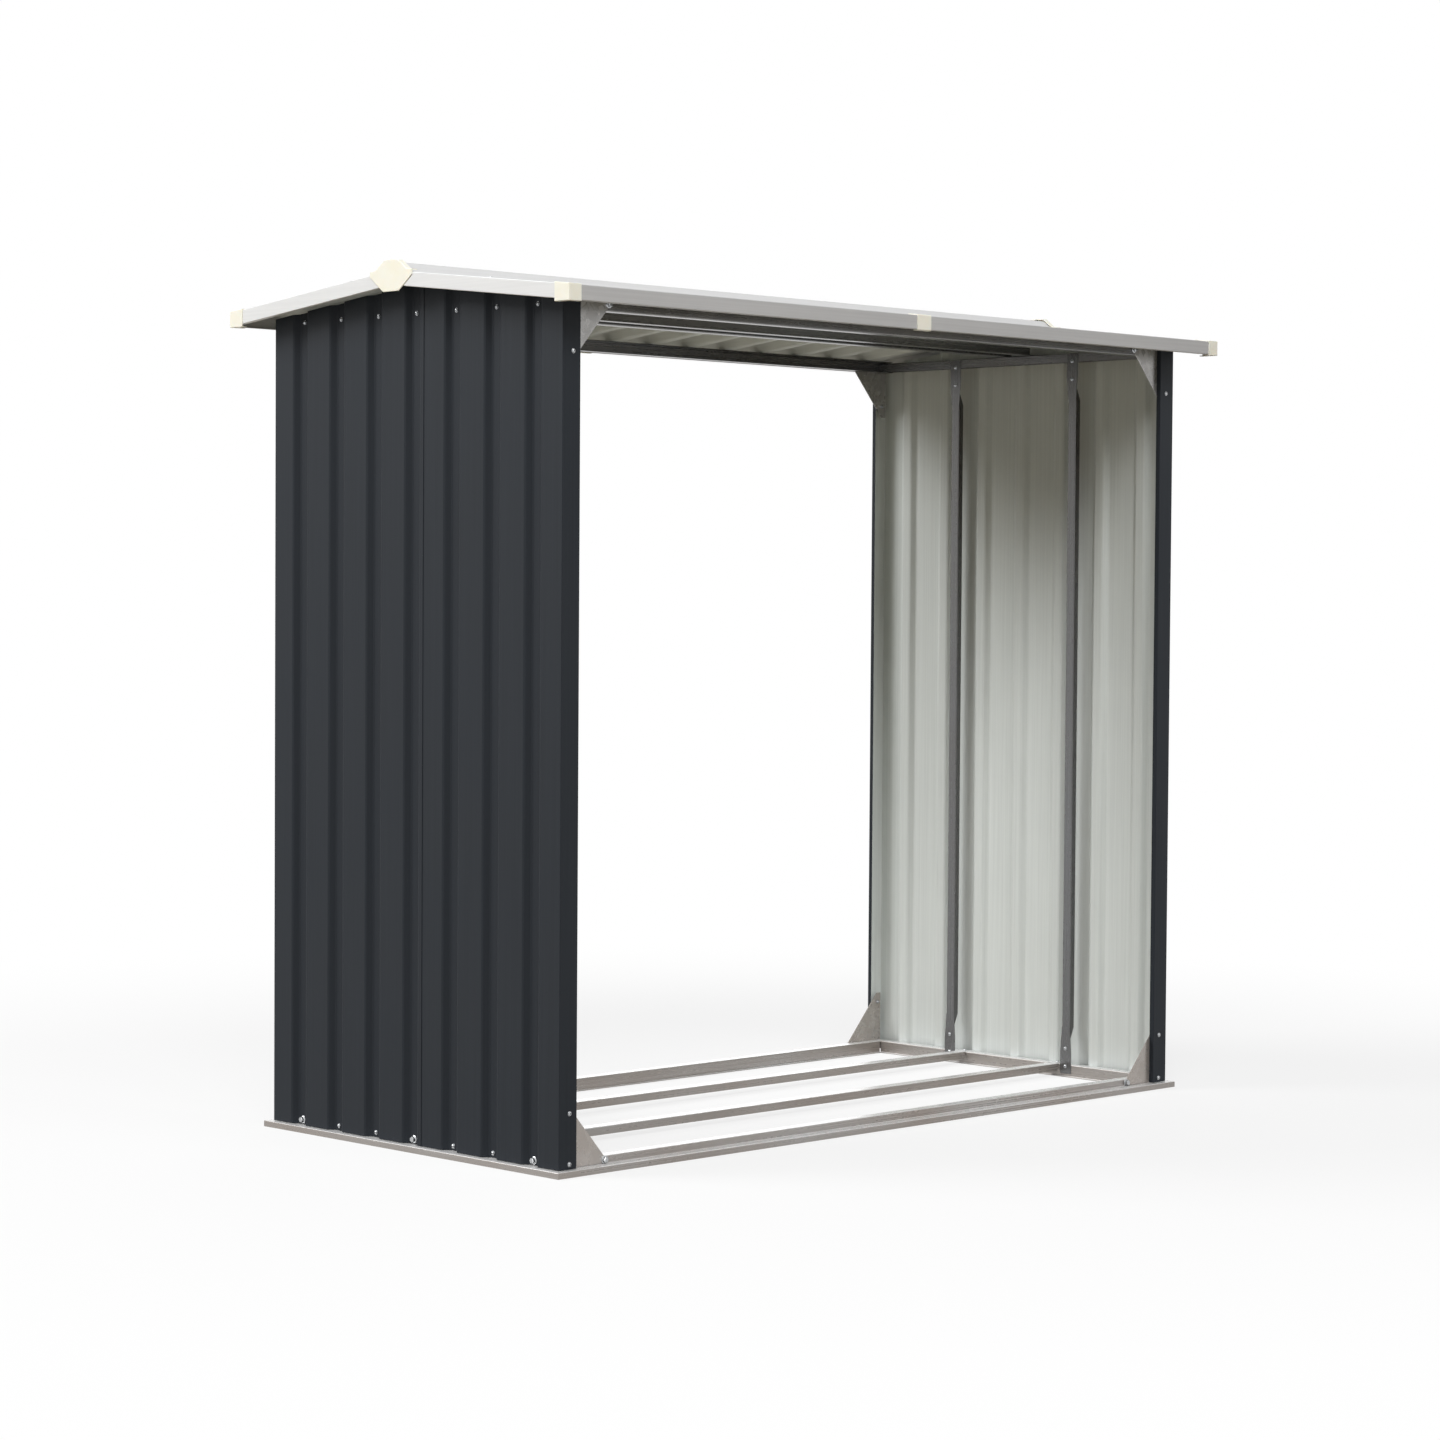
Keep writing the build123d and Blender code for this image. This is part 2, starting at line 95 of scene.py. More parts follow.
# Places of the fasteners
LOW_ROW_DROP = 0.0045
BIG_BOLT_EVERY = 3
RETURN_SCREW_INSET = 0.017
RETURN_SCREW_HEIGHTS = (0.020, 0.105, 1.370)
GUSSET_RUN = 0.104
GUSSET_TIP_INSET = 0.003
GUSSET_BOLT_RISE = 0.0057
STUD_BOLT_LOW = 0.0205
STUD_BOLT_STEP = 0.036
JOIST_TAB_INSET = 0.011
ROOF_SCREW_INSET = 0.012
CAPPING_SCREW_INSET = 0.008
CAPPING_SCREW_EVERY = 2

# Painted coats: colour, roughness and contrast of the streaks
ANTHRACITE_COAT = ((0.0150, 0.0185, 0.0240), 0.52, 0.10)
OFF_WHITE_COAT = ((0.665, 0.697, 0.680), 0.50, 0.05)
GABLE_COAT = ((0.80, 0.81, 0.82), 0.42, 0.03)
CAPPING_COAT = ((0.70, 0.70, 0.70), 0.42, 0.03)
# Painted shade: the eave trim has the white coat of the other trims, darkened for the shade on its front
# face
EAVE_SHADED_COAT = ((0.51, 0.51, 0.515), 0.42, 0.06)

# Tones of the zinc on each kind of piece: bright, dull and warm
FRAME_TONES = ((0.25, 0.255, 0.26), (0.205, 0.205, 0.21), (0.19, 0.18, 0.17))
# Painted shade: the studs get a darker copy of the frame zinc, for the dim inside of the store that they
# reflect
STUD_SHADED_TONES = ((0.19, 0.195, 0.20), (0.15, 0.15, 0.155), (0.14, 0.135, 0.13))
BASE_TONES = ((0.43, 0.42, 0.41), (0.36, 0.34, 0.325), (0.31, 0.265, 0.235))
# Painted light: a lighter copy of the base zinc for its upper faces, for the light that falls on them
# from above
BASE_TOP_LIT_TONES = ((0.80, 0.805, 0.81), (0.70, 0.705, 0.71), (0.68, 0.66, 0.645))
PLATE_TONES = ((0.49, 0.48, 0.47), (0.43, 0.415, 0.40), (0.40, 0.345, 0.305))
TOP_PLATE_TONES = ((0.54, 0.545, 0.55), (0.42, 0.425, 0.43), (0.45, 0.44, 0.43))

# How much the crystals show beside the roll marks, and how metallic each zinc is
ROLLED_CRYSTAL_SHARE = 0.06
PLATE_CRYSTAL_SHARE = 0.80
FRAME_METALLIC = 0.75
BASE_METALLIC = 0.50
# Less metallic, with the lighter tones above, for the painted light on the upper faces of the base
BASE_TOP_LIT_METALLIC = 0.30
PLATE_METALLIC = 0.50

# Plastic of the caps, with its flow marks, and plating of the fasteners
CREAM_COLOUR = (0.94, 0.925, 0.83)
CREAM_FLOW = (0.92, 0.89, 0.76)
PLATING_COLOUR = (0.50, 0.51, 0.52)

# Textures as (scale, detail) and reliefs as (strength, distance), drawn out along the rolling
EVEN = (1.0, 1.0, 1.0)
NOISE_SHARES = (0.3, 0.7)
COAT_STRETCH = 0.012
COAT_STREAKS = (260.0, 3.0)
COAT_CLOUDS = (5.0, 4.0)
COAT_CLOUD_SHARE = 0.35
COAT_PEEL = (1600.0, 2.0)
COAT_STOP_SHARES = (0.34, 0.66)
COAT_SMOOTHER = 0.05
COAT_ROUGHER = 0.07
COAT_SPECULAR = 0.2
COAT_ROLL_RELIEF = (0.12, 0.0006)
COAT_PEEL_RELIEF = (0.06, 0.0002)
ZINC_STRETCH = 0.01
ZINC_STREAKS = (300.0, 3.0)
ZINC_PATCH_STRETCH = 0.5
ZINC_PATCHES = (5.0, 2.0)
ZINC_PATCH_SHARES = (0.0, 0.85)
ZINC_WARP = (45.0, 2.0)
ZINC_WARP_REACH = (0.012, 0.012, 0.012)
ZINC_CRYSTAL_SIZE = 0.011
ZINC_STOP_SHARES = (0.28, 0.72)
ZINC_ROUGHNESS = (0.32, 0.24)
ZINC_GRAIN = (500.0, 2.0)
ZINC_GRAIN_RELIEF = (0.03, 0.0002)
PLASTIC_CLOUDS = (38.0, 3.0)
PLASTIC_GRAIN = (2400.0, 2.0)
PLASTIC_STOP_SHARES = (0.30, 0.70)
PLASTIC_ROUGHNESS = (0.40, 0.52)
PLASTIC_GLOW_SHARE = 0.12
PLASTIC_GLOW_RADIUS = (0.004, 0.003, 0.002)
PLASTIC_GRAIN_RELIEF = (0.10, 0.0002)
PLATING_SPECKS = (420.0, 4.0)
PLATING_STOP_SHARES = (0.30, 0.65)
PLATING_DULL_SHARE = 0.80
PLATING_ROUGHNESS = (0.34, 0.20)
PLATING_RELIEF = (0.05, 0.0002)

# Camera, as the photograph was taken, for a square image
CAMERA_PLACE = (-4.7033, -4.6881, 0.9677)
CAMERA_YAW = 0.7807
CAMERA_PITCH = -0.0354
CAMERA_ROLL = 0.0066
CAMERA_LENS = 87.79
CAMERA_SENSOR = 36.0

# Light: (name, place, aim, size, power)
LAMPS = (
    ("back_left_light", (-7.2, 6.0, 7.0), (0.0, 0.0, 0.6), 5.2, 700.0),
    ("left_light", (-8.0, 3.6, 7.3), (0.0, 0.0, 0.7), 5.2, 240.0),
    ("front_left_light", (-6.0, -6.0, 9.0), (0.0, 0.0, 0.6), 5.2, 680.0),
    ("front_light", (-0.6, -4.6, 5.4), (0.0, 0.0, 0.7), 3.0, 150.0),
    ("back_right_light", (3.5, 3.5, 2.5), (0.0, 0.0, 0.7), 2.6, 50.0),
)
AMBIENT = 0.03

# Floor: what it throws back on the object, how it looks, and where it runs out into the white
FLOOR_SIZE = 60.0
FLOOR_DROP = 0.0006
FLOOR_BOUNCE = (0.33, 0.29, 0.225)
FLOOR_TONE = (0.80, 0.80, 0.80)
FLOOR_ROUGHNESS = 0.9
FLOOR_WHITE_NEAR_SHARE = 0.78
FLOOR_NEAR = 1.2
FLOOR_FAR = 3.2

# Sockets that are told apart only by their order
FIRST = 0
SECOND = 1
THIRD = 2
COLOUR_A = 6
COLOUR_B = 7
COLOUR_RESULT = 2


def new_material(name):
    """A node material with its Principled shader, ready for links."""
    material = bpy.data.materials.new(name)
    material.use_nodes = True
    return material, material.node_tree, material.node_tree.nodes["Principled BSDF"]


def link(tree, source, output, target, socket):
    """Joins an output of one node to a socket of another."""
    tree.links.new(source.outputs[output], target.inputs[socket])


def drawn_out(along, stretch):
    """The scale that draws a texture out along one axis."""
    scale = list(EVEN)
    scale[along] = stretch
    return scale


def scaled_coordinates(tree, scale):
    """Object coordinates, which are the object's metres, with a scale for each axis."""
    coordinates = tree.nodes.new("ShaderNodeTexCoord")
    mapping = tree.nodes.new("ShaderNodeMapping")
    mapping.inputs["Scale"].default_value = scale
    link(tree, coordinates, "Object", mapping, "Vector")
    return mapping


def noise(tree, coordinates, texture):
    """Cloudy noise on the given coordinates."""
    scale, detail = texture
    node = tree.nodes.new("ShaderNodeTexNoise")
    node.inputs["Scale"].default_value = scale
    node.inputs["Detail"].default_value = detail
    link(tree, coordinates, "Vector", node, "Vector")
    return node


def ramp(tree, source, output, places, colours):
    """A colour ramp with a colour at each place."""
    node = tree.nodes.new("ShaderNodeValToRGB")
    for element, place, colour in zip(node.color_ramp.elements, places, colours):
        element.position = place
        element.color = (*colour, 1.0)
    link(tree, source, output, node, "Fac")
    return node


def spread(tree, source, output, ends):
    """A value between two ends that follows a texture."""
    node = tree.nodes.new("ShaderNodeMapRange")
    node.inputs["From Min"].default_value, node.inputs["From Max"].default_value = NOISE_SHARES
    node.inputs["To Min"].default_value, node.inputs["To Max"].default_value = ends
    link(tree, source, output, node, "Value")
    return node


def bump(tree, source, relief, below=None):
    """Fine relief from a noise, on top of another relief where one is given."""
    strength, distance = relief
    node = tree.nodes.new("ShaderNodeBump")
    node.inputs["Strength"].default_value = strength
    node.inputs["Distance"].default_value = distance
    link(tree, source, "Fac", node, "Height")
    if below:
        link(tree, below, "Normal", node, "Normal")
    return node


def shade(colour, factor):
    """The same colour, lighter or darker."""
    return tuple(channel * factor for channel in colour)


def coil_coat(name, coat, along):
    """Paint baked on rolled sheet: streaks along the rolling, soft clouds and a fine orange peel."""
    colour, roughness, contrast = coat
    material, tree, shader = new_material(name)
    streaks = noise(tree, scaled_coordinates(tree, drawn_out(along, COAT_STRETCH)), COAT_STREAKS)
    plain = scaled_coordinates(tree, EVEN)
    clouds = noise(tree, plain, COAT_CLOUDS)
    peel = noise(tree, plain, COAT_PEEL)
    mixed = tree.nodes.new("ShaderNodeMix")
    mixed.inputs["Factor"].default_value = COAT_CLOUD_SHARE
    link(tree, streaks, "Fac", mixed, "A")
    link(tree, clouds, "Fac", mixed, "B")
    colours = (shade(colour, 1 - contrast), shade(colour, 1 + contrast))
    tint = ramp(tree, mixed, "Result", COAT_STOP_SHARES, colours)
    link(tree, tint, "Color", shader, "Base Color")
    gloss = spread(tree, clouds, "Fac", (roughness - COAT_SMOOTHER, roughness + COAT_ROUGHER))
    link(tree, gloss, "Result", shader, "Roughness")
    shader.inputs["Specular IOR Level"].default_value = COAT_SPECULAR
    rolled = bump(tree, streaks, COAT_ROLL_RELIEF)
    skin = bump(tree, peel, COAT_PEEL_RELIEF, rolled)
    link(tree, skin, "Normal", shader, "Normal")
    return material


def zinc_crystals(tree, plain):
    """Crystals with wavy borders, each with a brightness of its own."""
    warp = noise(tree, plain, ZINC_WARP)
    offset = tree.nodes.new("ShaderNodeVectorMath")
    offset.operation = "MULTIPLY_ADD"
    offset.inputs[SECOND].default_value = ZINC_WARP_REACH
    link(tree, warp, "Color", offset, FIRST)
    link(tree, plain, "Vector", offset, THIRD)
    crystals = tree.nodes.new("ShaderNodeTexVoronoi")
    crystals.inputs["Scale"].default_value = 1 / ZINC_CRYSTAL_SIZE
    link(tree, offset, "Vector", crystals, "Vector")
    tone = tree.nodes.new("ShaderNodeSeparateColor")
    link(tree, crystals, "Color", tone, "Color")
    return tone


def galvanised(name, tones, along, crystal_share, metallic):
    """Hot-dip zinc: roll marks along an axis over crystals of differing brightness, with warm patches."""
    bright, dull, warm = tones
    material, tree, shader = new_material(name)
    plain = scaled_coordinates(tree, EVEN)
    streaks = noise(tree, scaled_coordinates(tree, drawn_out(along, ZINC_STRETCH)), ZINC_STREAKS)
    patches = noise(tree, scaled_coordinates(tree, drawn_out(along, ZINC_PATCH_STRETCH)), ZINC_PATCHES)
    grey = tree.nodes.new("ShaderNodeMix")
    grey.inputs["Factor"].default_value = crystal_share
    link(tree, streaks, "Fac", grey, "A")
    link(tree, zinc_crystals(tree, plain), "Red", grey, "B")
    spangle = ramp(tree, grey, "Result", ZINC_STOP_SHARES, (dull, bright))
    amount = spread(tree, patches, "Fac", ZINC_PATCH_SHARES)
    mixed = tree.nodes.new("ShaderNodeMix")
    mixed.data_type = "RGBA"
    mixed.inputs[COLOUR_B].default_value = (*warm, 1.0)
    link(tree, amount, "Result", mixed, "Factor")
    link(tree, spangle, "Color", mixed, COLOUR_A)
    link(tree, mixed, COLOUR_RESULT, shader, "Base Color")
    gloss = spread(tree, grey, "Result", ZINC_ROUGHNESS)
    link(tree, gloss, "Result", shader, "Roughness")
    shader.inputs["Metallic"].default_value = metallic
    skin = bump(tree, noise(tree, plain, ZINC_GRAIN), ZINC_GRAIN_RELIEF)
    link(tree, skin, "Normal", shader, "Normal")
    return material


def moulded(name, colour, flow):
    """Moulded plastic: faint flow clouds and a fine spark-eroded grain."""
    material, tree, shader = new_material(name)
    plain = scaled_coordinates(tree, EVEN)
    clouds = noise(tree, plain, PLASTIC_CLOUDS)
    grain = noise(tree, plain, PLASTIC_GRAIN)
    tint = ramp(tree, clouds, "Fac", PLASTIC_STOP_SHARES, (flow, colour))
    link(tree, tint, "Color", shader, "Base Color")
    gloss = spread(tree, grain, "Fac", PLASTIC_ROUGHNESS)
    link(tree, gloss, "Result", shader, "Roughness")
    shader.inputs["Subsurface Weight"].default_value = PLASTIC_GLOW_SHARE
    shader.inputs["Subsurface Radius"].default_value = PLASTIC_GLOW_RADIUS
    skin = bump(tree, grain, PLASTIC_GRAIN_RELIEF)
    link(tree, skin, "Normal", shader, "Normal")
    return material


def plated(name, colour):
    """Bright zinc plating of the fasteners, with small dull specks."""
    material, tree, shader = new_material(name)
    specks = noise(tree, scaled_coordinates(tree, EVEN), PLATING_SPECKS)
    colours = (shade(colour, PLATING_DULL_SHARE), colour)
    tint = ramp(tree, specks, "Fac", PLATING_STOP_SHARES, colours)
    link(tree, tint, "Color", shader, "Base Color")
    gloss = spread(tree, specks, "Fac", PLATING_ROUGHNESS)
    link(tree, gloss, "Result", shader, "Roughness")
    shader.inputs["Metallic"].default_value = 1.0
    skin = bump(tree, specks, PLATING_RELIEF)
    link(tree, skin, "Normal", shader, "Normal")
    return material


def rolled_zinc(name, tones, along, metallic):
    """Zinc of a rolled section, where the crystals hardly show."""
    return galvanised(name, tones, along, ROLLED_CRYSTAL_SHARE, metallic)


def plate_zinc(name, tones):
    """Zinc of a flat plate, with its crystals in full view."""
    return galvanised(name, tones, AXIS_Z, PLATE_CRYSTAL_SHARE, PLATE_METALLIC)


WALL_OUTSIDE = coil_coat("anthracite_wall", ANTHRACITE_COAT, AXIS_Z)
WALL_INSIDE = coil_coat("off_white_wall", OFF_WHITE_COAT, AXIS_Z)
ROOF_OUTSIDE = coil_coat("anthracite_roof", ANTHRACITE_COAT, AXIS_Y)
ROOF_INSIDE = coil_coat("off_white_roof", OFF_WHITE_COAT, AXIS_Y)
# Painted shade: the white coat darkened on the eave trim
SHADED_EAVE_TRIM = coil_coat("white_eave_trim_painted_shade", EAVE_SHADED_COAT, AXIS_X)
GABLE_TRIM = coil_coat("white_gable_trim", GABLE_COAT, AXIS_Y)
CAPPING = coil_coat("white_capping", CAPPING_COAT, AXIS_X)
FRAME_ZINC_X = rolled_zinc("zinc_frame_x", FRAME_TONES, AXIS_X, FRAME_METALLIC)
FRAME_ZINC_Y = rolled_zinc("zinc_frame_y", FRAME_TONES, AXIS_Y, FRAME_METALLIC)
# Painted shade: a darker copy of the frame zinc for the studs
STUD_SHADED_ZINC = rolled_zinc("zinc_stud_painted_shade", STUD_SHADED_TONES, AXIS_Z, FRAME_METALLIC)
BASE_ZINC_X = rolled_zinc("zinc_base_x", BASE_TONES, AXIS_X, BASE_METALLIC)
BASE_ZINC_Y = rolled_zinc("zinc_base_y", BASE_TONES, AXIS_Y, BASE_METALLIC)
# Painted light: lighter copies of the base zinc for its upper faces
BASE_TOP_LIT_X = rolled_zinc("zinc_base_top_painted_light_x", BASE_TOP_LIT_TONES, AXIS_X, BASE_TOP_LIT_METALLIC)
BASE_TOP_LIT_Y = rolled_zinc("zinc_base_top_painted_light_y", BASE_TOP_LIT_TONES, AXIS_Y, BASE_TOP_LIT_METALLIC)
PLATE_ZINC = plate_zinc("zinc_plate", PLATE_TONES)
TOP_PLATE_ZINC = plate_zinc("zinc_top_plate", TOP_PLATE_TONES)
CREAM = moulded("cream_plastic", CREAM_COLOUR, CREAM_FLOW)
PLATED = plated("plated_zinc", PLATING_COLOUR)

# Painted light on the base: a lighter copy of its zinc on the upper faces, for the light from above, and
# the plain zinc on the sides, by node
BASE_FINISHES = {
    "base_left_rail": (BASE_TOP_LIT_Y, BASE_ZINC_Y),
    "base_right_rail": (BASE_TOP_LIT_Y, BASE_ZINC_Y),
    "base_front_rail": (BASE_TOP_LIT_X, BASE_ZINC_X),
    "base_back_rail": (BASE_TOP_LIT_X, BASE_ZINC_X),
    "floor_joist_front": (BASE_TOP_LIT_X, BASE_ZINC_X),
    "floor_joist_back": (BASE_TOP_LIT_X, BASE_ZINC_X),
}

# Finish of the other nodes, by the first of these words that a name holds
NODE_FINISHES = (
    ("capping", CAPPING),
    ("cap", CREAM),
    ("gable_trim", GABLE_TRIM),
    ("eave_trim", SHADED_EAVE_TRIM),
    ("top_gussets", TOP_PLATE_ZINC),
    ("gussets", PLATE_ZINC),
    ("stud", STUD_SHADED_ZINC),
    ("top_rail", FRAME_ZINC_Y),
    ("top_beam", FRAME_ZINC_X),
    ("purlin", FRAME_ZINC_X),
)


def reach(node, axis):
    """How far a node reaches from the middle along an axis."""
    low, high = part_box(node)
    return max(abs(low[axis]), abs(high[axis]))


WALL_FACE = reach("left_wall_back_panel", AXIS_X)
WALL_END = reach("left_wall_front_panel", AXIS_Y)


def wall_is_outside(normal, centre, side, end):
    """Whether a face of a wall panel is on its painted side, in the panel's own signs."""
    out_x = normal.x * side
    out_y = normal.y * end
    depth = WALL_FACE - centre.x * side
    if depth < CORNER_DEPTH:
        if WALL_END - centre.y * end < CORNER_EDGE:
            return out_x > FACES_A_LITTLE or out_y > FACES_CLEARLY
        return out_x > -FACES_A_LITTLE
    return out_y > FACES_CLEARLY or out_x < -FACES_CLEARLY


def paint_sides(node, outside, inside, is_outside):
    """Gives a sheet its two finishes, face by face."""
    mesh = NODES[node].data
    mesh.materials.clear()
    mesh.materials.append(outside)
    mesh.materials.append(inside)
    for polygon in mesh.polygons:
        polygon.material_index = 0 if is_outside(polygon.normal, polygon.center) else 1


def paint_walls():
    """Anthracite outside, with the returns and hems, and off-white inside."""
    for side_name, side in SIDES.items():
        for end_name, end in ENDS.items():
            paint_sides(
                f"{side_name}_wall_{end_name}_panel",
                WALL_OUTSIDE,
                WALL_INSIDE,
                lambda normal, centre, side=side, end=end: wall_is_outside(normal, centre, side, end),
            )


def paint_roof():
    """Anthracite above and off-white below."""
    for side_name in SIDES:
        for end_name in ENDS:
            paint_sides(
                f"roof_{end_name}_{side_name}_panel",
                ROOF_OUTSIDE,
                ROOF_INSIDE,
                lambda normal, centre: normal.z > ROOF_FACES_UP,
            )


def paint_base():
    """Rails and joists: a lighter copy of the zinc, painted light from above, on the faces that look up.
    """
    for node, (top, side) in BASE_FINISHES.items():
        paint_sides(node, top, side, lambda normal, centre: normal.z > BASE_FACES_UP)


def paint_frame():
    """Gives the trims, caps, plates and upper frame their finishes."""
    for node, piece in NODES.items():
        finishes = [finish for word, finish in NODE_FINISHES if word in node]
        if finishes:
            piece.data.materials.clear()
            piece.data.materials.append(finishes[0])


def lathe(bm, profile, sides):
    """A closed turned form in the mesh, from a profile of (radius, height) without its poles."""
    rings = []
    for radius, height in profile:
        turns = [2 * math.pi * index / sides for index in range(sides)]
        rings.append([bm.verts.new((radius * math.cos(a), radius * math.sin(a), height)) for a in turns])
    for lower, upper in zip(rings, rings[1:]):
        for index in range(sides):
            after = (index + 1) % sides
            bm.faces.new((lower[index], lower[after], upper[after], upper[index]))
    bm.faces.new(rings[0][::-1])
    bm.faces.new(rings[-1])


def as_mesh(bm, name):
    """The finished mesh of a bmesh."""
    mesh = bpy.data.meshes.new(name)
    bm.to_mesh(mesh)
    bm.free()
    return mesh


def cross_cutter():
    """A four-armed plug that leaves the driver's recess in a screw head."""
    bm = bmesh.new()
    top = WASHER_HEIGHT + PAN_HEIGHT
    width = RECESS_WIDTH / 2
    corners = []
    for arm in range(RECESS_ARMS):
        turn = Matrix.Rotation(2 * math.pi * arm / RECESS_ARMS, 3, "Z")
        for x, y in ((width, -width), (RECESS_ARM, -width), (RECESS_ARM, width)):
            corners.append(turn @ Vector((x, y, 0)))
    foot = [corner * RECESS_TAPER_SHARE for corner in corners]
    low = [bm.verts.new((corner.x, corner.y, top - RECESS_DEPTH)) for corner in foot]
    high = [bm.verts.new((corner.x, corner.y, top + RECESS_DEPTH)) for corner in corners]
    bm.faces.new(low[::-1])
    bm.faces.new(high)
    for index in range(len(corners)):
        after = (index + 1) % len(corners)
        bm.faces.new((low[index], low[after], high[after], high[index]))
    return bpy.data.objects.new("cross_cutter", as_mesh(bm, "cross_cutter"))


def pan_head():
    """Domed head of a screw, without its recess."""
    bm = bmesh.new()
    shoulder = WASHER_HEIGHT + PAN_HEIGHT * PAN_SHOULDER_SHARE
    dome = PAN_HEIGHT * (1 - PAN_SHOULDER_SHARE)
    profile = [(PAN_RADIUS, WASHER_HEIGHT)]
    for degrees in PAN_DOME_DEGREES:
        angle = math.radians(degrees)
        profile.append((PAN_RADIUS * math.cos(angle), shoulder + dome * math.sin(angle)))
    lathe(bm, profile, ROUND_SIDES)
    return bpy.data.objects.new("pan_head", as_mesh(bm, "pan_head"))


def pan_screw():
    """Pan-head screw with a driver's recess on a plain washer, standing on z = 0."""
    head = pan_head()
    cutter = cross_cutter()
    for helper in (head, cutter):
        bpy.context.scene.collection.objects.link(helper)
    recess = head.modifiers.new("recess", "BOOLEAN")
    recess.operation = "DIFFERENCE"
    recess.object = cutter
    graph = bpy.context.evaluated_depsgraph_get()
    cut = bpy.data.meshes.new_from_object(head.evaluated_get(graph))
    for helper in (head, cutter):
        bpy.data.objects.remove(helper)
    bm = bmesh.new()
    lathe(bm, ((WASHER_RADIUS, 0), (WASHER_RADIUS, WASHER_HEIGHT)), ROUND_SIDES)
    bm.from_mesh(cut)
    return as_mesh(bm, "pan_screw")


def hex_bolt():
    """Hex head on a broad flange, standing on z = 0."""
    bm = bmesh.new()
    flange = (
        (FLANGE_RADIUS, 0),
        (FLANGE_RADIUS, FLANGE_HEIGHT / 2),
        (FLANGE_RADIUS * FLANGE_RIM_SHARE, FLANGE_HEIGHT),
    )
    lathe(bm, flange, ROUND_SIDES)
    top = FLANGE_HEIGHT + HEX_HEIGHT
    head = (
        (HEX_RADIUS, FLANGE_HEIGHT),
        (HEX_RADIUS, top - HEX_CHAMFER),
        (HEX_RADIUS - HEX_CHAMFER, top),
    )
    lathe(bm, head, HEX_SIDES)
    return as_mesh(bm, "hex_bolt")


def hex_nut():
    """Nut with the end of its bolt showing, standing on z = 0."""
    bm = bmesh.new()
    lathe(bm, ((NUT_RADIUS, 0), (NUT_RADIUS, NUT_HEIGHT)), HEX_SIDES)
    lathe(bm, ((SHANK_RADIUS, NUT_HEIGHT), (SHANK_RADIUS, SHANK_HEIGHT)), SHANK_SIDES)
    return as_mesh(bm, "hex_nut")


def place_many(name, template, places):
    """One joined mesh with a copy of the template at each (point, outward direction)."""
    spin = random.Random(SPIN_SEED)
    bm = bmesh.new()
    for point, outward in places:
        copy = bmesh.new()
        copy.from_mesh(template)
        turn = Matrix.Rotation(spin.uniform(0, math.pi), 4, "Z")
        stand = Vector(outward).to_track_quat("Z", "Y").to_matrix().to_4x4()
        copy.transform(Matrix.Translation(point) @ stand @ turn)
        joined = bpy.data.meshes.new("joined")
        copy.to_mesh(joined)
        copy.free()
        bm.from_mesh(joined)
        bpy.data.meshes.remove(joined)
    piece = bpy.data.objects.new(name, as_mesh(bm, name))
    bpy.context.scene.collection.objects.link(piece)
    piece.data.materials.append(PLATED)
    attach(piece, BODY)
    return piece


def wall_rows():
    """Places along the foot and the head of both walls, one in each groove, as (index, point, out)."""
    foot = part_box("base_left_rail")[1].z - LOW_ROW_DROP
    rail_low, rail_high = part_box("left_top_rail")
    head = (rail_low.z + rail_high.z) / 2
    rows = {"foot": [], "head": []}
    for side_name, side in SIDES.items():
        for index in WALL_GROOVES:
            end_name = "front" if index < 0 else "back"
            face = reach(f"{side_name}_wall_{end_name}_panel", AXIS_X) - GROOVE_DEPTH
            for row, height in (("foot", foot), ("head", head)):
                point = Vector((side * face, index * GROOVE_PITCH, height))
                rows[row].append((index, point, (side, 0, 0)))
    return rows


def return_screws():
    """Places on the returns at the open ends of the walls."""
    places = []
    for side_name, side in SIDES.items():
        for end_name, end in ENDS.items():
            low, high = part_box(f"{side_name}_wall_{end_name}_panel")
            across = min(abs(low.x), abs(high.x)) + RETURN_SCREW_INSET
            face = reach(f"{side_name}_wall_{end_name}_panel", AXIS_Y)
            for height in RETURN_SCREW_HEIGHTS:
                places.append((Vector((side * across, end * face, height)), (0, end, 0)))
    return places


def return_nuts():
    """Places behind the upper return screws, on the inner faces of the gussets."""
    places = []
    face = reach("front_bottom_gussets", AXIS_Y) - STEEL
    for point, (_, end, _) in return_screws():
        if point.z > RETURN_SCREW_HEIGHTS[0]:
            places.append((Vector((point.x, end * face, point.z)), (0, -end, 0)))
    return places


def gusset_bolts():
    """Places at the free tips of the corner gussets."""
    places = []
    for end_name, end in ENDS.items():
        for level in ("bottom", "top"):
            node = f"{end_name}_{level}_gussets"
            low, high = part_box(node)
            height = low.z + GUSSET_BOLT_RISE if level == "bottom" else high.z - GUSSET_BOLT_RISE
            face = reach(node, AXIS_Y)
            tip = reach(node, AXIS_X) - GUSSET_RUN + GUSSET_TIP_INSET
            for side in SIDES.values():
                places.append((Vector((side * tip, end * face, height)), (0, end, 0)))
    return places


def stud_bolts():
    """Two bolts at each end of each stud."""
    places = []
    for side_name, side in SIDES.items():
        for end_name in ENDS:
            low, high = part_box(f"{side_name}_{end_name}_stud")
            face = min(abs(low.x), abs(high.x))
            middle = (low.y + high.y) / 2
            for height_low in (STUD_BOLT_LOW, STUD_BOLT_LOW + STUD_BOLT_STEP):
                for height in (height_low, low.z + high.z - height_low):
                    places.append((Vector((side * face, middle, height)), (-side, 0, 0)))
    return places


def joist_bolts():
    """One bolt down through each end tab of the floor joists."""
    places = []
    for end_name in ENDS:
        low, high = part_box(f"floor_joist_{end_name}")
        for side in SIDES.values():
            x = side * (high.x - JOIST_TAB_INSET)
            places.append((Vector((x, (low.y + high.y) / 2, high.z)), (0, 0, 1)))
    return places


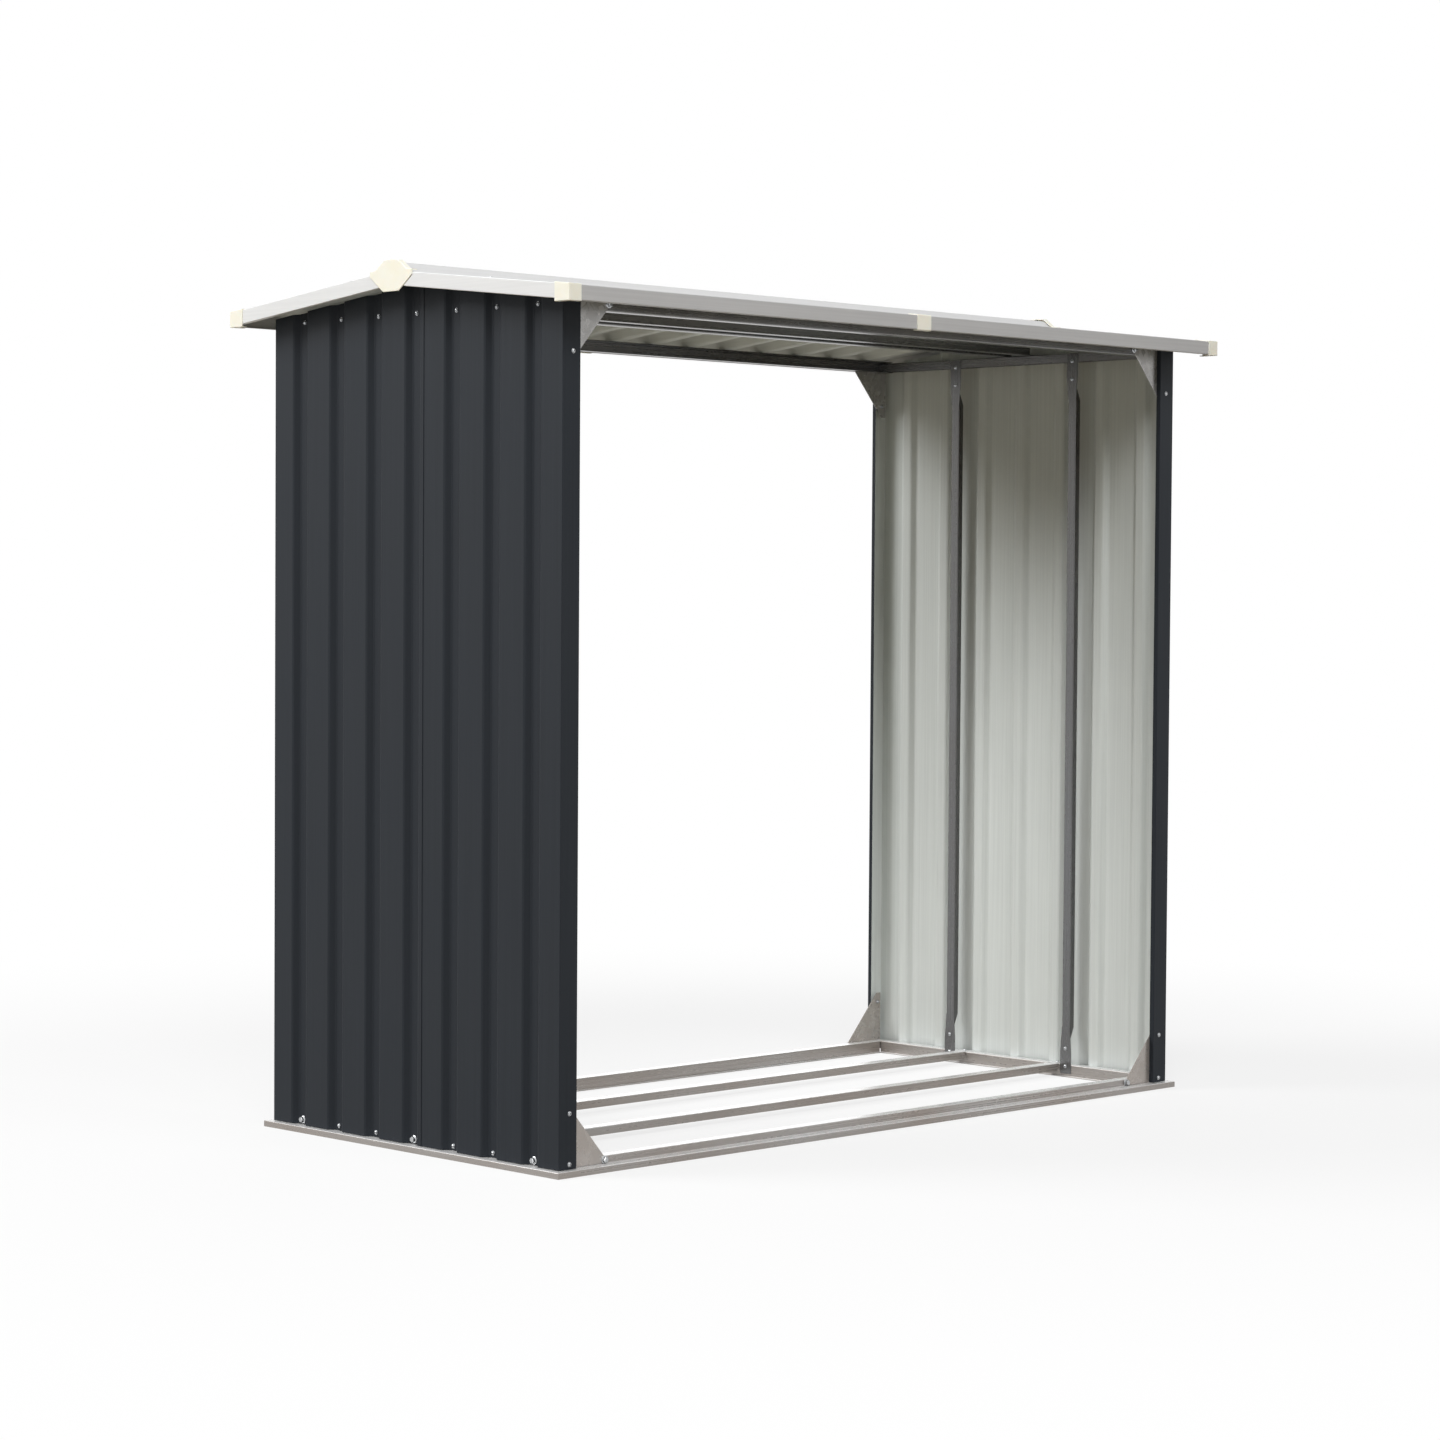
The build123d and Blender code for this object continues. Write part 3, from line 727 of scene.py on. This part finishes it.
def slope_of(node):
    """Rise of a roof panel for each metre towards the ridge, from its box."""
    low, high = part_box(node)
    return (high.z - low.z - ROOF_GROOVE_DEPTH - SHEET) / (high.y - low.y)


def roof_screws():
    """Places in the grooves of the roof, over the front and back beams."""
    places = []
    slope = slope_of("roof_front_left_panel")
    for end_name, end in ENDS.items():
        across = reach(f"{end_name}_top_beam", AXIS_Y) - ROOF_SCREW_INSET
        for index in ROOF_GROOVES:
            side_name = "left" if index <= 0 else "right"
            low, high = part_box(f"roof_{end_name}_{side_name}_panel")
            ridge = min(abs(low.y), abs(high.y))
            height = high.z - ROOF_GROOVE_DEPTH - slope * (across - ridge)
            point = Vector((index * GROOVE_PITCH, end * across, height))
            places.append((point, (0, end * slope, 1)))
    return places


def capping_screws():
    """Places along both wings of the ridge capping, over every other crown of the roof."""
    places = []
    slope = slope_of("roof_front_left_panel")
    low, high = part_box("ridge_capping")
    across = high.y - CAPPING_SCREW_INSET
    height = low.z + SHEET + slope * CAPPING_SCREW_INSET
    for end in ENDS.values():
        for index in range(ROOF_GROOVES.start, ROOF_GROOVES.stop - 1, CAPPING_SCREW_EVERY):
            point = Vector(((index + CROWN_SHARE) * GROOVE_PITCH, end * across, height))
            places.append((point, (0, end * slope, 1)))
    return places


def add_fasteners():
    """Screws, bolts and nuts, joined by kind and place."""
    screw = pan_screw()
    bolt = hex_bolt()
    nut = hex_nut()
    rows = wall_rows()
    big = [place[1:] for place in rows["foot"] if place[0] % BIG_BOLT_EVERY == 0]
    small = [place[1:] for place in rows["foot"] if place[0] % BIG_BOLT_EVERY]
    place_many("wall_foot_bolts", bolt, big)
    place_many("wall_foot_screws", screw, small)
    place_many("wall_head_screws", screw, [place[1:] for place in rows["head"]])
    place_many("return_screws", screw, return_screws())
    place_many("return_nuts", nut, return_nuts())
    place_many("gusset_bolts", bolt, gusset_bolts())
    place_many("stud_bolts", screw, stud_bolts())
    place_many("joist_bolts", screw, joist_bolts())
    place_many("roof_screws", screw, roof_screws())
    place_many("capping_screws", screw, capping_screws())


def add_camera():
    """The photograph's camera."""
    forward = Vector((
        math.sin(CAMERA_YAW) * math.cos(CAMERA_PITCH),
        math.cos(CAMERA_YAW) * math.cos(CAMERA_PITCH),
        math.sin(CAMERA_PITCH),
    ))
    level_right = forward.cross(Vector((0, 0, 1))).normalized()
    level_up = level_right.cross(forward)
    right = level_right * math.cos(CAMERA_ROLL) + level_up * math.sin(CAMERA_ROLL)
    up = level_up * math.cos(CAMERA_ROLL) - level_right * math.sin(CAMERA_ROLL)
    data = bpy.data.cameras.new("camera")
    data.lens = CAMERA_LENS
    data.sensor_width = CAMERA_SENSOR
    camera = bpy.data.objects.new("camera", data)
    turn = Matrix((right, up, -forward)).transposed().to_4x4()
    camera.matrix_world = Matrix.Translation(CAMERA_PLACE) @ turn
    bpy.context.scene.collection.objects.link(camera)
    bpy.context.scene.camera = camera


def add_lamps():
    """Soft boxes around the object."""
    for name, place, aim, size, power in LAMPS:
        data = bpy.data.lights.new(name, "AREA")
        data.size = size
        data.energy = power
        lamp = bpy.data.objects.new(name, data)
        lamp.location = place
        lamp.rotation_euler = (Vector(aim) - Vector(place)).to_track_quat("-Z", "Y").to_euler()
        bpy.context.scene.collection.objects.link(lamp)


def seen_rays(tree):
    """1 for the rays that show the background: from the camera, a gloss or a see-through surface."""
    path = tree.nodes.new("ShaderNodeLightPath")
    pair = tree.nodes.new("ShaderNodeMath")
    pair.operation = "MAXIMUM"
    link(tree, path, "Is Camera Ray", pair, FIRST)
    link(tree, path, "Is Glossy Ray", pair, SECOND)
    seen = tree.nodes.new("ShaderNodeMath")
    seen.operation = "MAXIMUM"
    link(tree, pair, "Value", seen, FIRST)
    link(tree, path, "Is Transmission Ray", seen, SECOND)
    return seen


def add_world():
    """White to look at, and a soft even light."""
    world = bpy.data.worlds.new("studio")
    world.use_nodes = True
    bpy.context.scene.world = world
    tree = world.node_tree
    background = tree.nodes["Background"]
    background.inputs["Color"].default_value = (1.0, 1.0, 1.0, 1.0)
    strength = tree.nodes.new("ShaderNodeMapRange")
    strength.inputs["To Min"].default_value = AMBIENT
    strength.inputs["To Max"].default_value = 1.0
    link(tree, seen_rays(tree), "Value", strength, "Value")
    link(tree, strength, "Result", background, "Strength")


def floor_fade(tree):
    """How white the floor is, from near the object to where it runs out."""
    coordinates = tree.nodes.new("ShaderNodeTexCoord")
    distance = tree.nodes.new("ShaderNodeVectorMath")
    distance.operation = "LENGTH"
    link(tree, coordinates, "Object", distance, FIRST)
    fade = tree.nodes.new("ShaderNodeMapRange")
    fade.interpolation_type = "SMOOTHSTEP"
    fade.inputs["From Min"].default_value = FLOOR_NEAR
    fade.inputs["From Max"].default_value = FLOOR_FAR
    fade.inputs["To Min"].default_value = FLOOR_WHITE_NEAR_SHARE
    fade.inputs["To Max"].default_value = 1.0
    link(tree, distance, "Value", fade, "Value")
    return fade


def floor_material():
    """Pale and matt under the object, and white further out for the rays that show the background."""
    material, tree, shader = new_material("floor")
    seen = seen_rays(tree)
    tone = ramp(tree, seen, "Value", (0, 1), (FLOOR_BOUNCE, FLOOR_TONE))
    link(tree, tone, "Color", shader, "Base Color")
    shader.inputs["Roughness"].default_value = FLOOR_ROUGHNESS
    shader.inputs["Specular IOR Level"].default_value = 0
    amount = tree.nodes.new("ShaderNodeMath")
    amount.operation = "MULTIPLY"
    link(tree, floor_fade(tree), "Result", amount, FIRST)
    link(tree, seen, "Value", amount, SECOND)
    white = tree.nodes.new("ShaderNodeEmission")
    mixed = tree.nodes.new("ShaderNodeMixShader")
    link(tree, amount, "Value", mixed, FIRST)
    link(tree, shader, "BSDF", mixed, SECOND)
    link(tree, white, "Emission", mixed, THIRD)
    link(tree, mixed, "Shader", tree.nodes["Material Output"], "Surface")
    return material


def add_floor():
    """A pale floor that keeps the object's shadow and runs out into the white."""
    bm = bmesh.new()
    bmesh.ops.create_grid(bm, x_segments=1, y_segments=1, size=FLOOR_SIZE / 2)
    floor = bpy.data.objects.new("floor", as_mesh(bm, "floor"))
    floor.location.z = -FLOOR_DROP
    bpy.context.scene.collection.objects.link(floor)
    floor.data.materials.append(floor_material())


paint_walls()
paint_roof()
paint_base()
paint_frame()
add_fasteners()
add_camera()
add_lamps()
add_world()
add_floor()
bpy.context.scene.view_settings.view_transform = "Standard"
